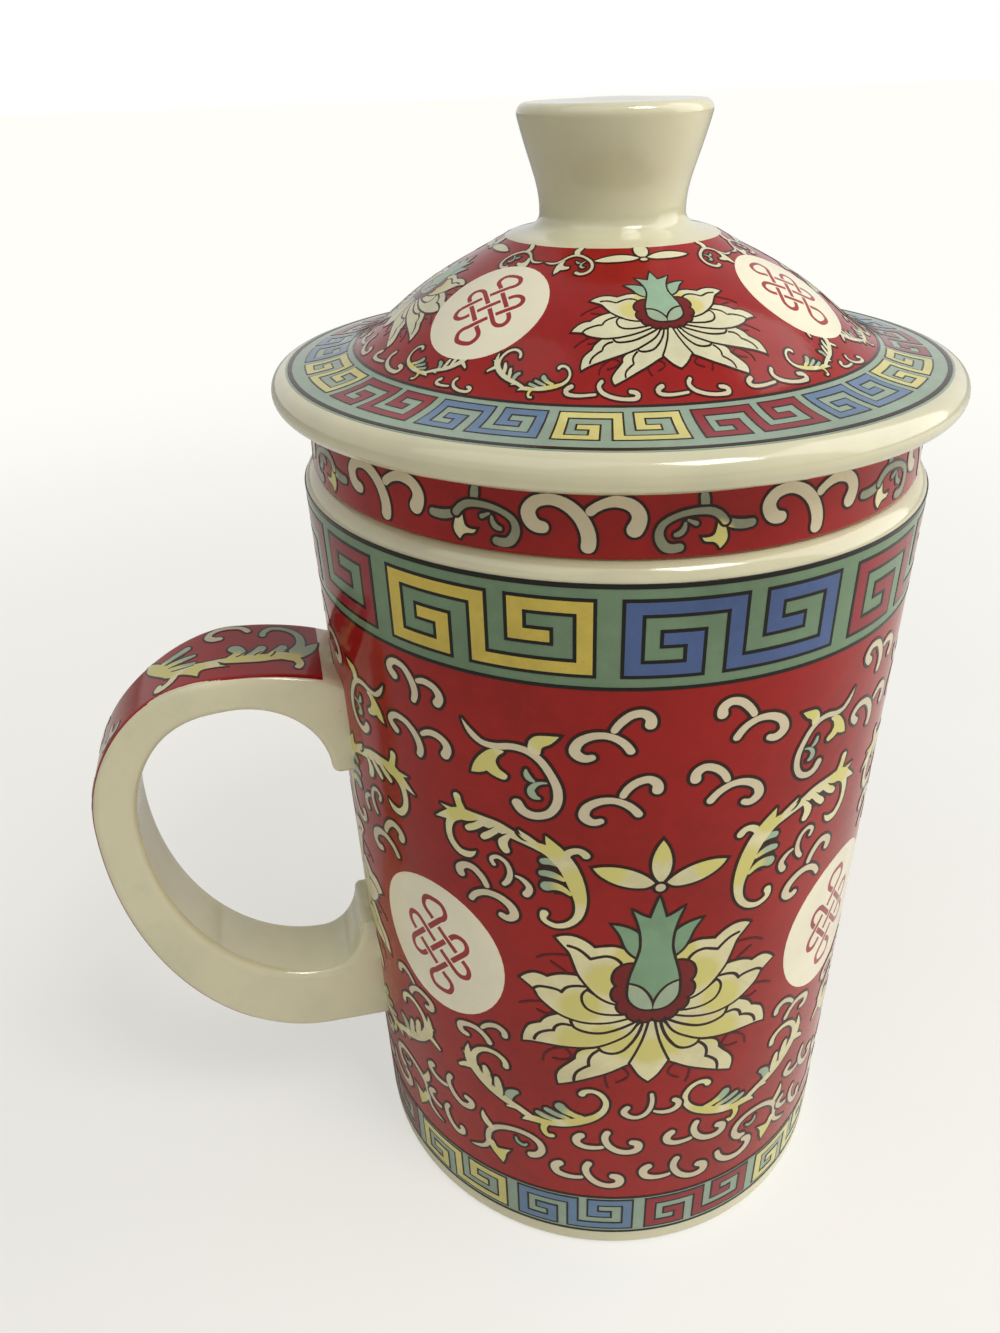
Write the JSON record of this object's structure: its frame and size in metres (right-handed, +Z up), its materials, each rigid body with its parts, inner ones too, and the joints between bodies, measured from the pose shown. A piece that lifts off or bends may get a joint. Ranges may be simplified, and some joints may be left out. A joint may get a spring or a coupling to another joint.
{
  "type": "lidded tea mug with infuser",
  "caption": "Tall tapered porcelain tea mug with a strap loop handle, a lift-out perforated infuser standing on its lip, and a domed lift-off lid with a flared knob.",
  "frame": {"origin": "centre of the overall box on the table: the cup's axis stands 14.8 mm along +X from it, and the foot ring lies on Z = 0", "axes": "+Z up along the cup's axis, -X out along the handle, +Y to the cup's side"},
  "size_m": [0.1154, 0.0856, 0.1523],
  "materials": {
    "porcelain_glaze": "glossy clear glaze over ivory porcelain",
    "red_enamel": "glossy fired enamel",
    "outline_enamel": "glossy fired enamel",
    "turquoise_enamel": "glossy fired enamel",
    "yellow_enamel": "glossy fired enamel",
    "blue_enamel": "glossy fired enamel",
    "maroon_enamel": "glossy fired enamel",
    "green_enamel": "glossy fired enamel",
    "cream_enamel": "glossy fired enamel"
  },
  "bodies": {
    "mug": {"mug_cup": "porcelain_glaze", "mug_handle": "porcelain_glaze"},
    "infuser": {"infuser": "porcelain_glaze"},
    "lid": {"lid_dome": "porcelain_glaze", "lid_knob": "porcelain_glaze"}
  },
  "joints": [
    {"name": "infuser_lift", "type": "slide", "parent": "mug", "child": "infuser", "axis": [0, 0, 1], "range_m": [0, 0.075]},
    {"name": "lid_lift", "type": "slide", "parent": "infuser", "child": "lid", "axis": [0, 0, 1], "range_m": [0, 0.04]}
  ]
}
